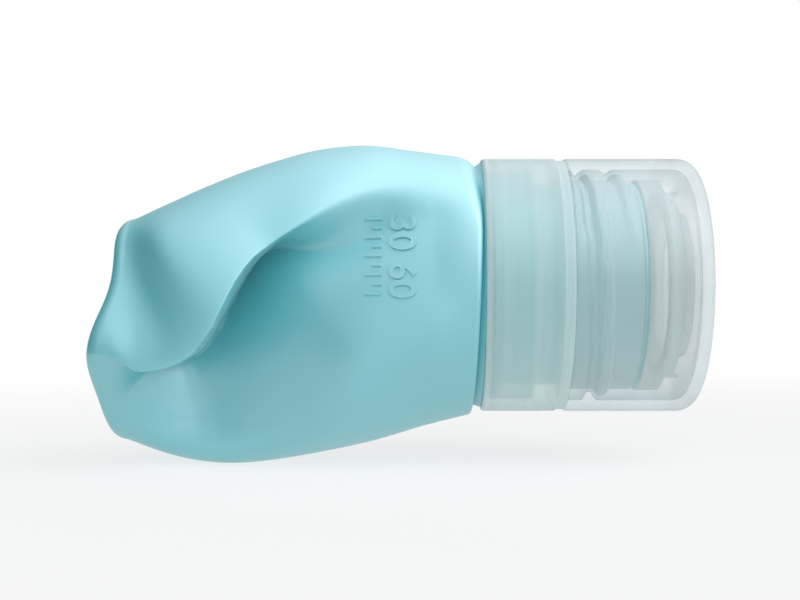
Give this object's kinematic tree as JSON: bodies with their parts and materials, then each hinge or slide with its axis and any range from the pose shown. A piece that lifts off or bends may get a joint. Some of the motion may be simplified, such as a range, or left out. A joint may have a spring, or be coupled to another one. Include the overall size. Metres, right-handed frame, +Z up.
{
  "type": "travel silicone bottle",
  "caption": "Squeezable silicone travel bottle with a frosted threaded collar, a dispensing plug with a slit valve and a clear screw cap, held squeezed.",
  "frame": {"origin": "centre of the flat end of the screw cap", "axes": "+X out of the cap's end along the neck's axis, +Z up with the bottle lying as pictured, -Y towards the side that shows the fold and the fill marks"},
  "size_m": [0.0861, 0.04, 0.0466],
  "materials": {
    "teal_silicone": "satin silicone",
    "frosted_plastic": "frosted, translucent",
    "inner_plastic": "natural, translucent",
    "seal_silicone": "satin, milky",
    "clear_plastic": "clear, glossy"
  },
  "bodies": {
    "bottle": {"squeeze_body": "teal_silicone", "neck_collar": "frosted_plastic", "neck_sleeve": "inner_plastic", "dispensing_plug": "inner_plastic", "valve": "seal_silicone", "valve_retainer": "inner_plastic"},
    "seal": {"cap_seal": "seal_silicone"},
    "cap": {"screw_cap": "clear_plastic"}
  },
  "joints": [
    {"name": "cap_lift", "type": "slide", "parent": "bottle", "child": "seal", "axis": [1, 0, 0], "range_m": [0, 0.0055]},
    {"name": "cap_turn", "type": "hinge", "parent": "seal", "child": "cap", "pos_m": [-0.01, 0, 0], "axis": [1, 0, 0], "range_deg": [0, 460]}
  ],
  "couplings": [
    {"joint": "cap_lift", "follows": "cap_turn", "m_per_rad": 0.0006737}
  ]
}
